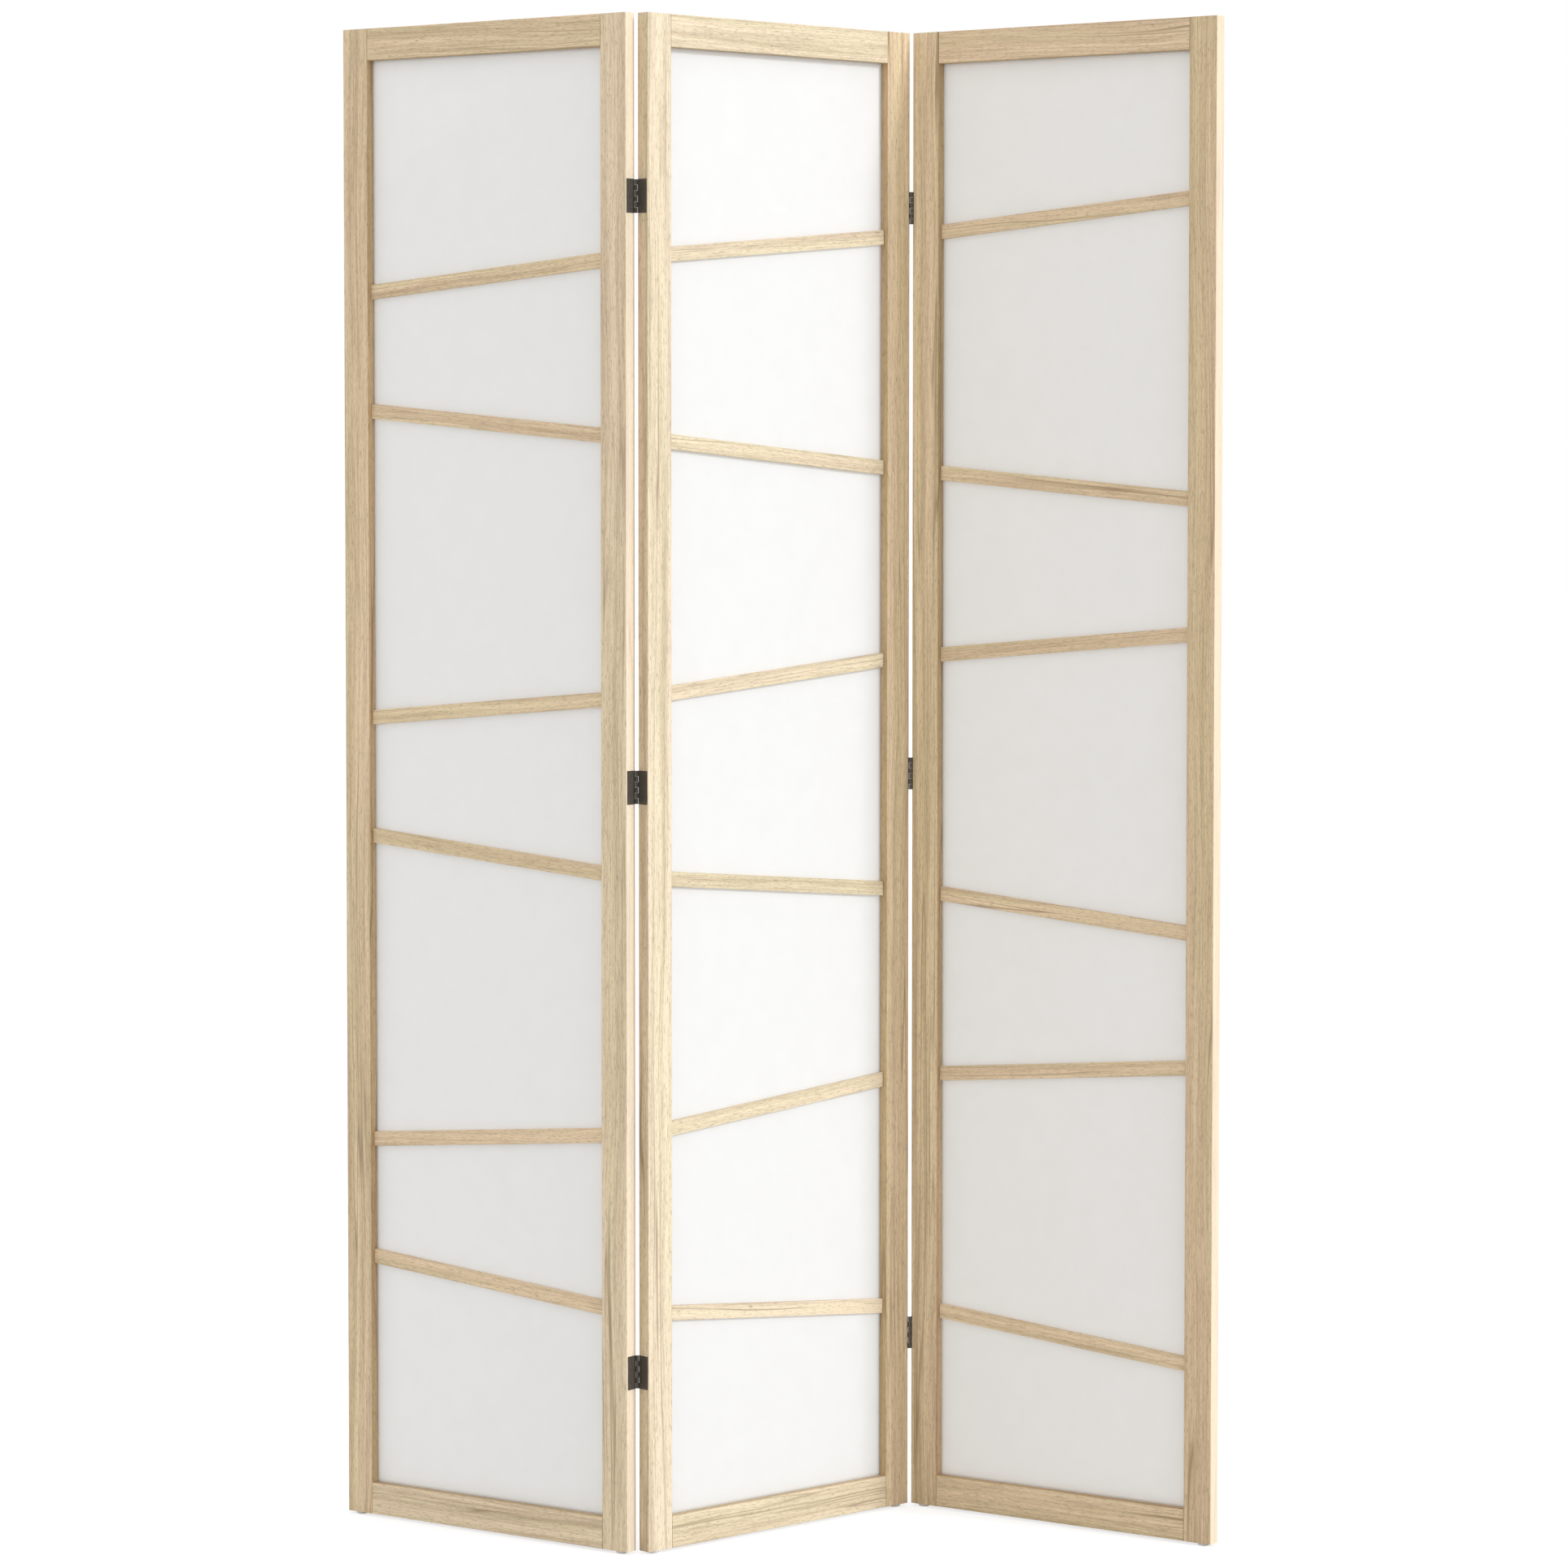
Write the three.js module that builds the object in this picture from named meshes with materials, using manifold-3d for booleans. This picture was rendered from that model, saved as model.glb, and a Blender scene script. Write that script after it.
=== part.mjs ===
// A folding screen of three hinged panels. Each panel is a wooden frame that holds a sheet of
// laminated paper in a groove, with slanted bars laid across the front of the sheet.
// Millimetres, +Z up. The front faces -Y, and the origin is on the floor under the middle
// panel's centre. A panel's own frame has X from its left edge, Y from its front face, Z from
// the bottom of its wood.

import * as THREE from "three";
import { mergeVertices } from "three/addons/utils/BufferGeometryUtils.js";
import Module from "manifold-3d";

const wasm = await Module();
wasm.setup();

// ---- Driving dimensions ---------------------------------------------------------------------

// How the screen stands
const FOLD = THREE.MathUtils.degToRad(38.8); // turn of each panel away from the screen's line

// Wooden frame of a panel
const PANEL_WIDTH = 400;
const PANEL_HEIGHT = 1697;
const FRAME_THICKNESS = 16;
const STILE_WIDTH = 35;
const RAIL_HEIGHT = 36;
const EDGE_RADIUS = 0.8; // rounding along the edges of the stiles and rails
const EDGE_STEPS = 3;
const WOOD_GAP = 0.2; // glue line between two pieces of wood

// Tenons at the ends of the rails
const TENON_THICKNESS = 5;
const TENON_SHOULDER = 6; // how far the tenon stands in from the rail's upper and lower edges
const TENON_WALL = 4; // wood left between a tenon's end and the stem of the foot

// Paper
const PAPER_THICKNESS = 0.6;
const PAPER_INSET = 4.1; // back of the sheet in front of the back of the frame
const PAPER_CLEARANCE = 0.2; // sheet to the bars and to the bottom of its groove
const GROOVE_PLAY = 0.8; // sheet to either side of its groove
const GROOVE_DEPTH = 5;

// Slanted bars, in pairs: the upper one rises to the right and the lower one falls
const BAR_PAIRS = 3;
const BAR_WIDTH = 16.5;
const BAR_THICKNESS = 5.5;
const BAR_SLOPE = Math.tan(THREE.MathUtils.degToRad(5));
const BAR_END_SPACE = 212; // rail to the nearest bar's centre line, at the middle of the screen
const BAR_STAGGER = 15.5; // the space between two pairs, less the space within a pair
const BAR_TENON_WIDTH = 9;
const BAR_TENON_THICKNESS = 3;
const BAR_TENON_LENGTH = 4;

// Hinges
const HINGE_HEIGHT = 37;
const HINGE_END_SPACE = 199.5; // end of the wood to the middle of the outer hinges
const KNUCKLE_COUNT = 6;
const KNUCKLE_GAP = 0.3;
const KNUCKLE_CLEARANCE = 0.33; // round knuckle to the face of the frame
const PIN_RADIUS = 0.6;
const PIN_CLEARANCE = 0.07;
const PIN_STEPS = 24;
const LEAF_THICKNESS = 1;
const LEAF_MARGIN = 1.35; // wood left in the stile's edge beside the leaf
const SCREW_RADIUS = 1.2;
const SCREW_HEAD_RADIUS = 2.3;
const SCREW_SPACING = 22;
const SCREW_STEPS = 16;

// Feet
const FOOT_HEIGHT = 3;
const FOOT_RADIUS = 6.5;
const FOOT_TREAD_RADIUS = 4.9; // flat underside
const FOOT_RIM = 0.9; // height of the straight rim above the rounded underside
const FOOT_INSET = 13.5; // panel's edge to the middle of the foot
const FOOT_STEM_RADIUS = 2.5;
const FOOT_STEM_LENGTH = 14;
const FOOT_STEPS = 32;
const FOOT_CURVE_STEPS = 5;
const FOOT_CLEARANCE = 0.2;

// Making of the solids
const CUT_MARGIN = 1; // a cut starts this far outside the piece
const MERGE_DISTANCE = 1e-4; // points closer than this are one

// ---- Sizes that follow ----------------------------------------------------------------------

const PAPER_BACK = FRAME_THICKNESS - PAPER_INSET;
const PAPER_FRONT = PAPER_BACK - PAPER_THICKNESS;
const GROOVE_FRONT = PAPER_FRONT - GROOVE_PLAY;
const GROOVE_BACK = PAPER_BACK + GROOVE_PLAY;
const PAPER_REACH = GROOVE_DEPTH - PAPER_CLEARANCE; // how far the sheet enters a groove

const OPENING_WIDTH = PANEL_WIDTH - 2 * STILE_WIDTH;
const OPENING_HEIGHT = PANEL_HEIGHT - 2 * RAIL_HEIGHT;
const TENON_LENGTH = STILE_WIDTH - FOOT_INSET - FOOT_STEM_RADIUS - TENON_WALL;
const TENON_CENTRE = GROOVE_FRONT / 2; // in the wood between the front face and the groove

const BAR_BACK = PAPER_FRONT - PAPER_CLEARANCE;
const BAR_CENTRE = BAR_BACK - BAR_THICKNESS / 2;
const BAR_COUNT = 2 * BAR_PAIRS;
const BAR_SPAN = OPENING_HEIGHT - 2 * BAR_END_SPACE; // first bar to last, at the screen's middle
const PAIR_SPACE = (BAR_SPAN - (BAR_PAIRS - 1) * BAR_STAGGER) / (BAR_COUNT - 1);
const PAIR_PITCH = 2 * PAIR_SPACE + BAR_STAGGER;

const BORE_RADIUS = PIN_RADIUS + PIN_CLEARANCE;
const KNUCKLE_RADIUS = BORE_RADIUS + LEAF_THICKNESS;
const EDGE_GAP = BORE_RADIUS; // hinge axis to the panel's edge, where the flush leaf is tangent
const AXIS_OFFSET = KNUCKLE_RADIUS + KNUCKLE_CLEARANCE; // hinge axis to the frame's face
const LEAF_WIDTH = FRAME_THICKNESS - LEAF_MARGIN;
const KNUCKLE_PITCH = HINGE_HEIGHT / KNUCKLE_COUNT;
const HINGE_LEVELS = {
  top: PANEL_HEIGHT - HINGE_END_SPACE,
  middle: PANEL_HEIGHT / 2,
  bottom: HINGE_END_SPACE,
};

// ---- Materials ------------------------------------------------------------------------------

function material(color, roughness, metalness) {
  return new THREE.MeshStandardMaterial({ color, roughness, metalness });
}

const WOOD = { color: 0xd9c3a2, roughness: 0.6, metalness: 0 };
const PAPER = { color: 0xf0f0ec, roughness: 0.9, metalness: 0 };
const STEEL = { color: 0x2c2926, roughness: 0.45, metalness: 0.8 };
const NYLON = { color: 0xe6e6e2, roughness: 0.4, metalness: 0 };

// ---- Solids ---------------------------------------------------------------------------------

// A closed geometry as a solid that can be joined and cut.
function solidOf(geometry) {
  const bare = geometry.index ? geometry.toNonIndexed() : geometry.clone();
  bare.deleteAttribute("normal");
  bare.deleteAttribute("uv");
  const merged = mergeVertices(bare, MERGE_DISTANCE);
  return new wasm.Manifold(
    new wasm.Mesh({
      numProp: 3,
      vertProperties: merged.attributes.position.array,
      triVerts: new Uint32Array(merged.index.array),
    }),
  );
}

// A solid as a geometry again.
function geometryOf(solid) {
  const { vertProperties, triVerts } = solid.getMesh();
  const geometry = new THREE.BufferGeometry();
  geometry.setAttribute("position", new THREE.BufferAttribute(vertProperties, 3));
  geometry.setIndex(new THREE.BufferAttribute(triVerts, 1));
  geometry.computeVertexNormals();
  return geometry;
}

// A box between two corners.
function box(low, high) {
  const size = high.map((value, i) => value - low[i]);
  const geometry = new THREE.BoxGeometry(...size);
  return solidOf(geometry.translate(...low.map((value, i) => value + size[i] / 2)));
}

// A flat outline in X and Y, given depth along Z from a base height. A full circle gets twice
// as many steps as its curve segments.
function upright(shape, base, height) {
  const settings = { depth: height, bevelEnabled: false, curveSegments: PIN_STEPS / 2 };
  return solidOf(new THREE.ExtrudeGeometry(shape, settings).translate(0, 0, base));
}

// An outline in X and Z, given thickness along Y from front to back.
function across(points, front, back) {
  const shape = new THREE.Shape(points.map(([x, z]) => new THREE.Vector2(x, z)));
  const settings = { depth: back - front, bevelEnabled: false };
  const geometry = new THREE.ExtrudeGeometry(shape, settings);
  return solidOf(geometry.rotateX(Math.PI / 2).translate(0, back, 0));
}

// ---- Frame ----------------------------------------------------------------------------------

// Cross-section of a stile or rail: u runs in from its outer edge and v back from its front
// face. The groove for the paper is in the inner edge. Outer is the outer edge's place, and
// inward is 1 or -1.
function frameSection(width, outer, inward) {
  const outline = [];
  const corner = (u, v, start) => {
    for (let i = 0; i <= EDGE_STEPS; i++) {
      const angle = start + (i / EDGE_STEPS) * (Math.PI / 2);
      outline.push([u + EDGE_RADIUS * Math.cos(angle), v + EDGE_RADIUS * Math.sin(angle)]);
    }
  };
  corner(EDGE_RADIUS, EDGE_RADIUS, Math.PI);
  corner(width - EDGE_RADIUS, EDGE_RADIUS, 1.5 * Math.PI);
  outline.push([width, GROOVE_FRONT], [width - GROOVE_DEPTH, GROOVE_FRONT]);
  outline.push([width - GROOVE_DEPTH, GROOVE_BACK], [width, GROOVE_BACK]);
  corner(width - EDGE_RADIUS, FRAME_THICKNESS - EDGE_RADIUS, 0);
  corner(EDGE_RADIUS, FRAME_THICKNESS - EDGE_RADIUS, Math.PI / 2);
  return new THREE.Shape(outline.map(([u, v]) => new THREE.Vector2(outer + inward * u, v)));
}

// The space of a rail's tenon, or of its mortise where the gap is widened.
function tenonBox(railBase, from, to, gap) {
  const half = TENON_THICKNESS / 2 + gap;
  return box(
    [from, TENON_CENTRE - half, railBase + TENON_SHOULDER - gap],
    [to, TENON_CENTRE + half, railBase + RAIL_HEIGHT - TENON_SHOULDER + gap],
  );
}

// A rail with its two tenons. The groove faces the middle of the panel.
function rail(isTop) {
  const base = isTop ? PANEL_HEIGHT - RAIL_HEIGHT : 0;
  const section = frameSection(RAIL_HEIGHT, isTop ? PANEL_HEIGHT : 0, isTop ? -1 : 1);
  const length = OPENING_WIDTH - 2 * WOOD_GAP;
  const geometry = new THREE.ExtrudeGeometry(section, { depth: length, bevelEnabled: false });
  geometry.rotateY(-Math.PI / 2).translate(STILE_WIDTH + WOOD_GAP + length, 0, 0);
  const reach = TENON_LENGTH - WOOD_GAP;
  return solidOf(geometry).add(
    tenonBox(base, STILE_WIDTH - reach, PANEL_WIDTH - STILE_WIDTH + reach, 0),
  );
}

// A stile with its mortises, the pockets of its hinges and the hole for its foot.
function stile(isRight, place, hinge) {
  const outer = isRight ? PANEL_WIDTH : 0;
  const inward = isRight ? -1 : 1;
  const inner = outer + inward * STILE_WIDTH;
  const mouth = inner + inward * CUT_MARGIN;
  const tenonEnd = inner - inward * TENON_LENGTH;
  const ends = [Math.min(mouth, tenonEnd), Math.max(mouth, tenonEnd)];
  let wood = upright(frameSection(STILE_WIDTH, outer, inward), 0, PANEL_HEIGHT);
  for (const base of [0, PANEL_HEIGHT - RAIL_HEIGHT])
    wood = wood.subtract(tenonBox(base, ...ends, WOOD_GAP));
  for (let bar = 0; bar < BAR_COUNT; bar++)
    wood = wood.subtract(barTenon(bar, place, WOOD_GAP));
  if (hinge)
    for (const level of Object.values(HINGE_LEVELS))
      wood = wood.subtract(leafPocket(level, outer, inward, hinge.atBack));
  return wood.subtract(footHole(outer + inward * FOOT_INSET));
}

// ---- Slanted bars ---------------------------------------------------------------------------

// Height of a bar's centre line in a panel that is `place` panels right of the middle one. Bars
// are counted from the top, and their lines run on from panel to panel of the unfolded screen.
function barHeight(bar, place, x) {
  const isRising = bar % 2 === 0;
  const fromFirst = Math.floor(bar / 2) * PAIR_PITCH + (isRising ? 0 : PAIR_SPACE);
  const atMiddle = PANEL_HEIGHT - RAIL_HEIGHT - BAR_END_SPACE - fromFirst;
  const along = place * (PANEL_WIDTH + 2 * EDGE_GAP) + x - PANEL_WIDTH / 2;
  return atMiddle + (isRising ? BAR_SLOPE : -BAR_SLOPE) * along;
}

// A slanted strip between two upright ends.
function strip(bar, place, width, from, to, front, back) {
  const half = (width / 2) * Math.hypot(1, BAR_SLOPE);
  const low = barHeight(bar, place, from);
  const high = barHeight(bar, place, to);
  const outline = [[from, low - half], [to, high - half], [to, high + half], [from, low + half]];
  return across(outline, front, back);
}

// A bar's tenon, run through from stile to stile, or its mortises where the gap is widened.
function barTenon(bar, place, gap) {
  const half = BAR_TENON_THICKNESS / 2 + gap;
  const reach = STILE_WIDTH - BAR_TENON_LENGTH - gap;
  const width = BAR_TENON_WIDTH + 2 * gap;
  const ends = [reach, PANEL_WIDTH - reach];
  return strip(bar, place, width, ...ends, BAR_CENTRE - half, BAR_CENTRE + half);
}

function slantedBar(bar, place) {
  const start = STILE_WIDTH + WOOD_GAP;
  const ends = [start, PANEL_WIDTH - start];
  const body = strip(bar, place, BAR_WIDTH, ...ends, BAR_BACK - BAR_THICKNESS, BAR_BACK);
  return body.add(barTenon(bar, place, 0));
}

function paperSheet() {
  const side = STILE_WIDTH - PAPER_REACH;
  const end = RAIL_HEIGHT - PAPER_REACH;
  return box([side, PAPER_FRONT, end], [PANEL_WIDTH - side, PAPER_BACK, PANEL_HEIGHT - end]);
}

// ---- Hinges ---------------------------------------------------------------------------------

// The pocket that a leaf lies in, open at the stile's edge and at the face beside the axis.
function leafPocket(level, outer, inward, atBack) {
  const half = HINGE_HEIGHT / 2 + WOOD_GAP;
  const mouth = outer - inward * CUT_MARGIN;
  const floor = outer + inward * (LEAF_THICKNESS + WOOD_GAP);
  const wall = LEAF_MARGIN - WOOD_GAP;
  const front = atBack ? wall : -CUT_MARGIN;
  const back = FRAME_THICKNESS + (atBack ? CUT_MARGIN : -wall);
  return box(
    [Math.min(mouth, floor), front, level - half],
    [Math.max(mouth, floor), back, level + half],
  );
}

// Cross-section of a knuckle round the hinge's axis, with the strip that joins it to its leaf.
// The leaf is on the side of X that sx says, and runs away from the axis along sy.
function knuckleSection(sx, sy) {
  const start = Math.acos(BORE_RADIUS / KNUCKLE_RADIUS);
  const stripEnd = AXIS_OFFSET + LEAF_THICKNESS;
  const points = [[KNUCKLE_RADIUS, stripEnd]];
  for (let i = 0; i <= PIN_STEPS; i++) {
    const angle = (start - 2 * Math.PI) * (i / PIN_STEPS);
    points.push([KNUCKLE_RADIUS * Math.cos(angle), KNUCKLE_RADIUS * Math.sin(angle)]);
  }
  points.push([BORE_RADIUS, stripEnd]);
  const shape = new THREE.Shape(points.map(([x, y]) => new THREE.Vector2(sx * x, sy * y)));
  shape.holes.push(new THREE.Path().absarc(0, 0, BORE_RADIUS, 0, 2 * Math.PI));
  return shape;
}

// A countersunk screw hole through a leaf, from the face that meets the other leaf.
function screwHole(sx, sy, height) {
  const outside = EDGE_GAP - CUT_MARGIN;
  const inside = EDGE_GAP + LEAF_THICKNESS + CUT_MARGIN;
  const profile = [
    [0, outside],
    [SCREW_HEAD_RADIUS, outside],
    [SCREW_HEAD_RADIUS, EDGE_GAP],
    [SCREW_RADIUS, EDGE_GAP + LEAF_THICKNESS],
    [SCREW_RADIUS, inside],
    [0, inside],
  ];
  const points = profile.map(([radius, along]) => new THREE.Vector2(radius, along));
  const geometry = new THREE.LatheGeometry(points, SCREW_STEPS);
  geometry.rotateZ(-sx * (Math.PI / 2));
  return solidOf(geometry.translate(0, sy * (AXIS_OFFSET + LEAF_WIDTH / 2), height));
}

// A leaf in the hinge's own frame, whose origin is on the axis at the middle of its height.
// It has every second knuckle, from the uppermost one or from the next.
function hingeLeaf(sx, sy, hasTopKnuckle) {
  const edges = [sx * EDGE_GAP, sx * (EDGE_GAP + LEAF_THICKNESS)].sort((a, b) => a - b);
  const depth = [sy * AXIS_OFFSET, sy * (AXIS_OFFSET + LEAF_WIDTH)].sort((a, b) => a - b);
  const half = HINGE_HEIGHT / 2;
  let leaf = box([edges[0], depth[0], -half], [edges[1], depth[1], half]);
  for (let k = hasTopKnuckle ? 0 : 1; k < KNUCKLE_COUNT; k += 2) {
    const low = half - (k + 1) * KNUCKLE_PITCH + KNUCKLE_GAP / 2;
    const section = knuckleSection(sx, sy);
    leaf = leaf.add(upright(section, low, KNUCKLE_PITCH - KNUCKLE_GAP));
  }
  for (const height of [-SCREW_SPACING / 2, SCREW_SPACING / 2])
    leaf = leaf.subtract(screwHole(sx, sy, height));
  return leaf;
}

function hingePin() {
  const geometry = new THREE.CylinderGeometry(PIN_RADIUS, PIN_RADIUS, HINGE_HEIGHT, PIN_STEPS);
  return solidOf(geometry.rotateX(Math.PI / 2));
}

// ---- Feet -----------------------------------------------------------------------------------

function footHole(x) {
  const radius = FOOT_STEM_RADIUS + FOOT_CLEARANCE;
  const depth = FOOT_STEM_LENGTH + FOOT_CLEARANCE;
  const length = depth + CUT_MARGIN;
  const geometry = new THREE.CylinderGeometry(radius, radius, length, FOOT_STEPS);
  geometry.rotateX(Math.PI / 2).translate(x, FRAME_THICKNESS / 2, depth - length / 2);
  return solidOf(geometry);
}

// A round glide with a stem that is pushed into the end of the stile.
function foot() {
  const top = -FOOT_CLEARANCE;
  const rim = top - FOOT_RIM;
  const profile = [new THREE.Vector2(0, -FOOT_HEIGHT)];
  const underside = new THREE.QuadraticBezierCurve(
    new THREE.Vector2(FOOT_TREAD_RADIUS, -FOOT_HEIGHT),
    new THREE.Vector2(FOOT_RADIUS, -FOOT_HEIGHT),
    new THREE.Vector2(FOOT_RADIUS, rim),
  );
  profile.push(...underside.getPoints(FOOT_CURVE_STEPS), new THREE.Vector2(FOOT_RADIUS, top));
  profile.push(new THREE.Vector2(FOOT_STEM_RADIUS, top));
  profile.push(new THREE.Vector2(FOOT_STEM_RADIUS, FOOT_STEM_LENGTH));
  profile.push(new THREE.Vector2(0, FOOT_STEM_LENGTH));
  return solidOf(new THREE.LatheGeometry(profile, FOOT_STEPS).rotateX(Math.PI / 2));
}

// ---- Assembly -------------------------------------------------------------------------------

function addPiece(group, name, solid, look, position = [0, 0, 0]) {
  const mesh = new THREE.Mesh(
    geometryOf(solid),
    material(look.color, look.roughness, look.metalness),
  );
  mesh.name = name;
  mesh.position.set(...position);
  group.add(mesh);
}

// The leaves on one edge of a panel, and the pins where the panel keeps them.
function addHinges(group, isRightEdge, hinge) {
  const x = isRightEdge ? PANEL_WIDTH + EDGE_GAP : -EDGE_GAP;
  const y = hinge.atBack ? FRAME_THICKNESS + AXIS_OFFSET : -AXIS_OFFSET;
  for (const [level, height] of Object.entries(HINGE_LEVELS)) {
    const name = `${hinge.seam}_seam_${level}_hinge`;
    // The hinges at the back are turned about, and the lowest ones are the other way up.
    const hasTopKnuckle = (isRightEdge !== hinge.atBack) === (level !== "bottom");
    const leaf = hingeLeaf(isRightEdge ? -1 : 1, hinge.atBack ? -1 : 1, hasTopKnuckle);
    const leafName = `${name}_${isRightEdge ? "left" : "right"}_leaf`;
    addPiece(group, leafName, leaf, STEEL, [x, y, height]);
    if (hinge.keepsPins) addPiece(group, `${name}_pin`, hingePin(), STEEL, [x, y, height]);
  }
}

// A whole panel, in its own frame. Place counts panels to the right of the middle one.
function buildPanel(name, place, leftHinge, rightHinge) {
  const group = new THREE.Group();
  addPiece(group, `${name}_left_stile`, stile(false, place, leftHinge), WOOD);
  addPiece(group, `${name}_right_stile`, stile(true, place, rightHinge), WOOD);
  addPiece(group, `${name}_top_rail`, rail(true), WOOD);
  addPiece(group, `${name}_bottom_rail`, rail(false), WOOD);
  addPiece(group, `${name}_paper`, paperSheet(), PAPER);
  for (let bar = 0; bar < BAR_COUNT; bar++)
    addPiece(group, `${name}_bar_${bar + 1}`, slantedBar(bar, place), WOOD);
  const middle = FRAME_THICKNESS / 2;
  addPiece(group, `${name}_left_foot`, foot(), NYLON, [FOOT_INSET, middle, 0]);
  addPiece(group, `${name}_right_foot`, foot(), NYLON, [PANEL_WIDTH - FOOT_INSET, middle, 0]);
  if (leftHinge) addHinges(group, false, leftHinge);
  if (rightHinge) addHinges(group, true, rightHinge);
  return group;
}

// The left seam folds the back faces together, and the right seam the front faces.
const leftSeam = { seam: "left", atBack: true };
const rightSeam = { seam: "right", atBack: false };
const backAxis = FRAME_THICKNESS + AXIS_OFFSET;

const middlePanel = buildPanel(
  "middle_panel",
  0,
  { ...leftSeam, keepsPins: true },
  { ...rightSeam, keepsPins: true },
);
const leftPanel = buildPanel("left_panel", -1, null, leftSeam);
const rightPanel = buildPanel("right_panel", 1, rightSeam, null);

// Each outer panel turns about the axis of its hinges on the middle panel.
const leftPivot = new THREE.Group();
leftPivot.position.set(-EDGE_GAP, backAxis, 0);
leftPivot.rotation.z = -2 * FOLD;
leftPanel.position.set(-PANEL_WIDTH - EDGE_GAP, -backAxis, 0);
leftPivot.add(leftPanel);

const rightPivot = new THREE.Group();
rightPivot.position.set(PANEL_WIDTH + EDGE_GAP, -AXIS_OFFSET, 0);
rightPivot.rotation.z = -2 * FOLD;
rightPanel.position.set(EDGE_GAP, AXIS_OFFSET, 0);
rightPivot.add(rightPanel);

// The middle panel turns about its own centre, which stands over the origin.
middlePanel.add(leftPivot, rightPivot);
middlePanel.position.set(-PANEL_WIDTH / 2, -FRAME_THICKNESS / 2, FOOT_HEIGHT);
const screen = new THREE.Group();
screen.rotation.z = FOLD;
screen.add(middlePanel);

export default screen;
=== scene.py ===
"""The looks of a folding screen: oak frames and bars, laminated paper, dark hinges, white feet."""

import math
import random
from functools import partial

import bmesh
import bpy
from mathutils import Euler, Matrix, Vector, noise


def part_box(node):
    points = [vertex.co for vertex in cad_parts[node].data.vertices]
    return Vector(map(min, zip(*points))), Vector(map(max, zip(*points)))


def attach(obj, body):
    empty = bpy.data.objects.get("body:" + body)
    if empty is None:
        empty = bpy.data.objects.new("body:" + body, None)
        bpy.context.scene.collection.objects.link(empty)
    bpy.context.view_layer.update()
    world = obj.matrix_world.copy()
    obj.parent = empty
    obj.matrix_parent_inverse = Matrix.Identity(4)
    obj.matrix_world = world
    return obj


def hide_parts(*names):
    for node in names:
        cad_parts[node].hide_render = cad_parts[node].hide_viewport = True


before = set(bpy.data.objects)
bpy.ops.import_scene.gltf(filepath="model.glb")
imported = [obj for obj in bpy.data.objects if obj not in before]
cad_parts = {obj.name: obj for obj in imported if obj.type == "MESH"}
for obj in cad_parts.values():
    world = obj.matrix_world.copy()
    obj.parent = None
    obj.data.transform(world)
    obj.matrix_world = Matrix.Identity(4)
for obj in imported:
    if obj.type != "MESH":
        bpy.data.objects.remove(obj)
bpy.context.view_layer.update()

MM = 0.001

# ---- How the screen stands --------------------------------------------------------------------

FOLD = math.radians(38.8)
PANEL_TURNS = {"left_panel": -FOLD, "middle_panel": FOLD, "right_panel": -FOLD}
FRAME_PIECES = ("left_stile", "right_stile", "top_rail", "bottom_rail")
LEVELS = ("top", "middle", "bottom")
BAR_COUNT = 6

# Each seam: the panels on its two sides, and the way its leaves run from the axis, along the
# panel's depth.
SEAMS = {
    "left_seam": ("left_panel", "middle_panel", -1),
    "right_seam": ("middle_panel", "right_panel", 1),
}

# ---- Camera -----------------------------------------------------------------------------------

CAMERA_PLACE = Vector((-0.3872, -5.659, 1.201))
CAMERA_YAW = math.radians(3.64)
CAMERA_PITCH = math.radians(2.856)
CAMERA_LENS = 115.73
CAMERA_SHIFT = (0.02, -0.04)
SENSOR_WIDTH = 36
CLIP_END = 100  # how far the camera sees, past the floor's edge

# ---- Light ------------------------------------------------------------------------------------

KEY_AZIMUTH = math.radians(57)
KEY_HEIGHT = math.radians(23.5)
KEY_STRENGTH = 1.45
KEY_COLOUR = (0.96, 1, 1.04)
KEY_SPREAD = math.radians(7)
SKY_STRENGTH = 0.99

# ---- Sizes of what is added here --------------------------------------------------------------

EDGE_GAP = 0.67 * MM  # hinge axis to the outer face of a leaf
LEAF_START = 2 * MM  # hinge axis to the near end of a leaf
LEAF_WIDTH = 14.65 * MM
SCREW_SPACING = 22 * MM
SCREW_HEAD_RADIUS = 2.15 * MM
SCREW_SHANK_RADIUS = 1.05 * MM
SCREW_LENGTH = 10 * MM
SCREW_SINK = 0.06 * MM  # head below the face of the leaf
SCREW_RIM = 0.08 * MM  # height of the head's upright edge
SCREW_RIM_SOFT = 0.4  # the cut corner over it, as a share of it
SCREW_POINT = 0.8  # share of the length where the point starts
SCREW_SEGMENTS = 40
SLOT_WIDTH = 0.5 * MM
SLOT_REACH = 1.25 * MM
SLOT_DEPTH = 0.7 * MM
SLOT_SHARES = (1.4, 0.25)  # reach of the cutter over the head and at the slot's floor

SHEET_CELLS = (44, 200)  # across the sheet and up it
SHEET_WAVE = 0.3 * MM  # most that the paper bellies out behind
SHEET_WAVE_SIZE = (0.11, 0.19)
SHEET_HOLD = 0.045  # how far from a frame or bar the paper is held flat
SHEET_SEED_STEP = 20  # between the waves of two panels

WOOD_BEVEL = 0.35 * MM
BAR_BEVEL = 0.55 * MM
METAL_BEVEL = 0.12 * MM
FOOT_BEVEL = 0.2 * MM
SMOOTH_ANGLE = math.radians(40)
WELD_DISTANCE = 0.001 * MM
FLAT_ANGLE = math.radians(0.2)  # faces that lie closer than this are joined into one


# ---- Nodes ------------------------------------------------------------------------------------

# The colour sockets of a Mix node, which share their names with its other sockets
MIX_SHARE, MIX_FIRST, MIX_SECOND, MIX_RESULT = 0, 6, 7, 2

NOISE_MIDDLE = (0.35, 0.65)  # the range that most of a noise lies in


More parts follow.
